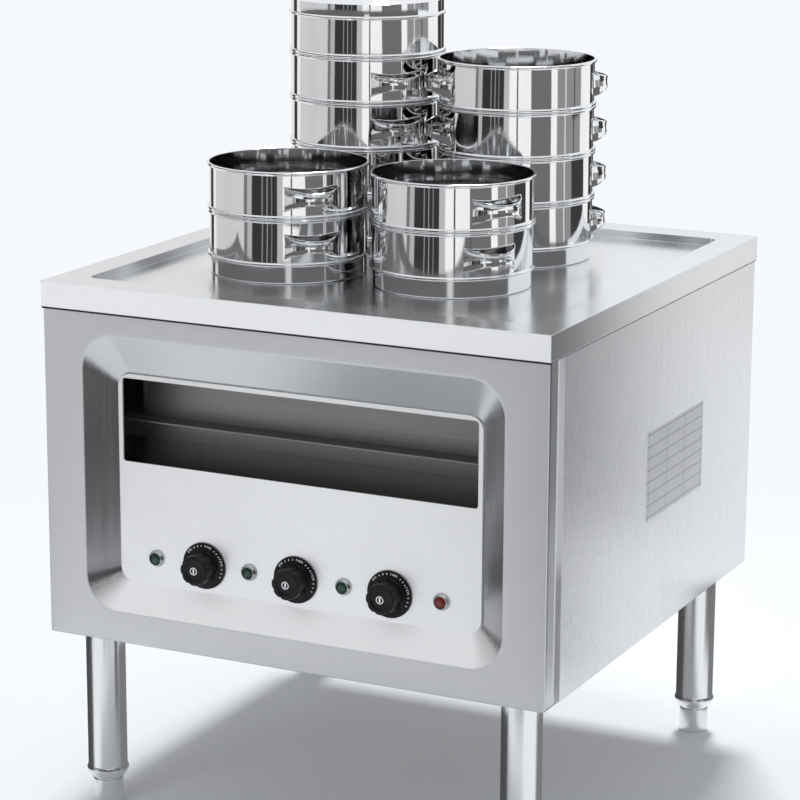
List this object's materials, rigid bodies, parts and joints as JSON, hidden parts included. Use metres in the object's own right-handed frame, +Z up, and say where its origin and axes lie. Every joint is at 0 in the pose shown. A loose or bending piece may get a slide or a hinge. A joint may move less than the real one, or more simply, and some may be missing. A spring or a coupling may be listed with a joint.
{
  "type": "food steamer",
  "caption": "Floor-standing steel food steamer: a cabinet on legs with dials, a sunk deck with steam outlets, and stacks of round nesting steam baskets with side handles.",
  "frame": {"origin": "on the floor, under the middle of the deck", "axes": "+Z up, the controls face -Y, +X to the right of someone facing the controls"},
  "size_m": [0.6, 0.6178, 0.9275],
  "materials": {
    "deck_steel": "satin stainless",
    "front_steel": "brushed stainless, upright grain",
    "control_steel": "fine satin stainless",
    "side_steel": "satin stainless",
    "rear_steel": "mill finish stainless",
    "base_steel": "mill finish stainless",
    "tank_steel": "mill finish stainless",
    "heater_steel": "dull nickel alloy",
    "socket_steel": "mill finish stainless",
    "leg_steel": "polished stainless tube",
    "foot_steel": "polished stainless",
    "pipe_steel": "plain stainless pipe",
    "valve_brass": "nickel-free turned brass",
    "lever_steel": "plain steel strap",
    "basket_steel": "mirror polished stainless",
    "handle_steel": "polished stainless strap",
    "lid_steel": "mirror polished stainless",
    "lid_knob_steel": "polished stainless",
    "knob_plastic": "black, semi-gloss",
    "spindle_steel": "turned steel",
    "switch_plastic": "off-white moulding",
    "bezel_chrome": "bright chrome",
    "green_lens": "dark green, clear gloss",
    "red_lens": "dark red, clear gloss",
    "gland_plastic": "black nylon",
    "block_plastic": "white moulding"
  },
  "bodies": {
    "cabinet": {"deck_top": "deck_steel", "front_panel": "front_steel", "control_panel": "control_steel", "left_side_panel": "side_steel", "right_side_panel": "side_steel", "rear_panel": "rear_steel", "base_panel": "base_steel", "water_tank": "tank_steel", "tank_rails": "tank_steel", "heating_elements": "heater_steel", "thermostats": "switch_plastic", "lamp_bezels": "bezel_chrome", "green_lenses": "green_lens", "red_lens": "red_lens", "leg_front_left": "leg_steel", "leg_front_right": "leg_steel", "leg_rear_left": "leg_steel", "leg_rear_right": "leg_steel", "leg_sockets": "socket_steel", "drain_pipe": "pipe_steel", "drain_valve": "valve_brass", "cable_gland": "gland_plastic", "terminal_block": "block_plastic"},
    "knob_left": {"knob_left": "knob_plastic", "spindle_left": "spindle_steel"},
    "knob_middle": {"knob_middle": "knob_plastic", "spindle_middle": "spindle_steel"},
    "knob_right": {"knob_right": "knob_plastic", "spindle_right": "spindle_steel"},
    "foot_front_left": {"foot_front_left": "foot_steel"},
    "foot_front_right": {"foot_front_right": "foot_steel"},
    "foot_rear_left": {"foot_rear_left": "foot_steel"},
    "foot_rear_right": {"foot_rear_right": "foot_steel"},
    "drain_lever": {"drain_lever": "lever_steel"},
    "front_left_basket_1": {"front_left_basket_1": "basket_steel", "front_left_basket_1_handles": "handle_steel"},
    "front_left_basket_2": {"front_left_basket_2": "basket_steel", "front_left_basket_2_handles": "handle_steel"},
    "front_right_basket_1": {"front_right_basket_1": "basket_steel", "front_right_basket_1_handles": "handle_steel"},
    "front_right_basket_2": {"front_right_basket_2": "basket_steel", "front_right_basket_2_handles": "handle_steel"},
    "back_left_basket_1": {"back_left_basket_1": "basket_steel", "back_left_basket_1_handles": "handle_steel"},
    "back_left_basket_2": {"back_left_basket_2": "basket_steel", "back_left_basket_2_handles": "handle_steel"},
    "back_left_basket_3": {"back_left_basket_3": "basket_steel", "back_left_basket_3_handles": "handle_steel"},
    "back_left_basket_4": {"back_left_basket_4": "basket_steel", "back_left_basket_4_handles": "handle_steel"},
    "lid": {"lid": "lid_steel", "lid_knob": "lid_knob_steel"},
    "back_right_basket_1": {"back_right_basket_1": "basket_steel", "back_right_basket_1_handles": "handle_steel"},
    "back_right_basket_2": {"back_right_basket_2": "basket_steel", "back_right_basket_2_handles": "handle_steel"},
    "back_right_basket_3": {"back_right_basket_3": "basket_steel", "back_right_basket_3_handles": "handle_steel"},
    "back_right_basket_4": {"back_right_basket_4": "basket_steel", "back_right_basket_4_handles": "handle_steel"}
  },
  "joints": [
    {"name": "knob_left_turn", "type": "hinge", "parent": "cabinet", "child": "knob_left", "pos_m": [-0.112, -0.2835, 0.304], "axis": [0, 1, 0], "range_deg": [0, 270]},
    {"name": "knob_middle_turn", "type": "hinge", "parent": "cabinet", "child": "knob_middle", "pos_m": [0, -0.2835, 0.304], "axis": [0, 1, 0], "range_deg": [0, 270]},
    {"name": "knob_right_turn", "type": "hinge", "parent": "cabinet", "child": "knob_right", "pos_m": [0.112, -0.2835, 0.304], "axis": [0, 1, 0], "range_deg": [0, 270]},
    {"name": "foot_front_left_height", "type": "slide", "parent": "cabinet", "child": "foot_front_left", "axis": [0, 0, -1], "range_m": [0, 0.025]},
    {"name": "foot_front_right_height", "type": "slide", "parent": "cabinet", "child": "foot_front_right", "axis": [0, 0, -1], "range_m": [0, 0.025]},
    {"name": "foot_rear_left_height", "type": "slide", "parent": "cabinet", "child": "foot_rear_left", "axis": [0, 0, -1], "range_m": [0, 0.025]},
    {"name": "foot_rear_right_height", "type": "slide", "parent": "cabinet", "child": "foot_rear_right", "axis": [0, 0, -1], "range_m": [0, 0.025]},
    {"name": "drain_lever_turn", "type": "hinge", "parent": "cabinet", "child": "drain_lever", "pos_m": [0.15, 0.126, 0.176], "axis": [0, -1, 0], "range_deg": [0, 90]},
    {"name": "front_left_basket_1_lift", "type": "slide", "parent": "cabinet", "child": "front_left_basket_1", "axis": [0, 0, 1], "range_m": [0, 0.06]},
    {"name": "front_left_basket_2_lift", "type": "slide", "parent": "front_left_basket_1", "child": "front_left_basket_2", "axis": [0, 0, 1], "range_m": [0, 0.06]},
    {"name": "front_right_basket_1_lift", "type": "slide", "parent": "cabinet", "child": "front_right_basket_1", "axis": [0, 0, 1], "range_m": [0, 0.06]},
    {"name": "front_right_basket_2_lift", "type": "slide", "parent": "front_right_basket_1", "child": "front_right_basket_2", "axis": [0, 0, 1], "range_m": [0, 0.06]},
    {"name": "back_left_basket_1_lift", "type": "slide", "parent": "cabinet", "child": "back_left_basket_1", "axis": [0, 0, 1], "range_m": [0, 0.06]},
    {"name": "back_left_basket_2_lift", "type": "slide", "parent": "back_left_basket_1", "child": "back_left_basket_2", "axis": [0, 0, 1], "range_m": [0, 0.06]},
    {"name": "back_left_basket_3_lift", "type": "slide", "parent": "back_left_basket_2", "child": "back_left_basket_3", "axis": [0, 0, 1], "range_m": [0, 0.06]},
    {"name": "back_left_basket_4_lift", "type": "slide", "parent": "back_left_basket_3", "child": "back_left_basket_4", "axis": [0, 0, 1], "range_m": [0, 0.06]},
    {"name": "lid_lift", "type": "slide", "parent": "back_left_basket_4", "child": "lid", "axis": [0, 0, 1], "range_m": [0, 0.06]},
    {"name": "back_right_basket_1_lift", "type": "slide", "parent": "cabinet", "child": "back_right_basket_1", "axis": [0, 0, 1], "range_m": [0, 0.06]},
    {"name": "back_right_basket_2_lift", "type": "slide", "parent": "back_right_basket_1", "child": "back_right_basket_2", "axis": [0, 0, 1], "range_m": [0, 0.06]},
    {"name": "back_right_basket_3_lift", "type": "slide", "parent": "back_right_basket_2", "child": "back_right_basket_3", "axis": [0, 0, 1], "range_m": [0, 0.06]},
    {"name": "back_right_basket_4_lift", "type": "slide", "parent": "back_right_basket_3", "child": "back_right_basket_4", "axis": [0, 0, 1], "range_m": [0, 0.06]}
  ]
}
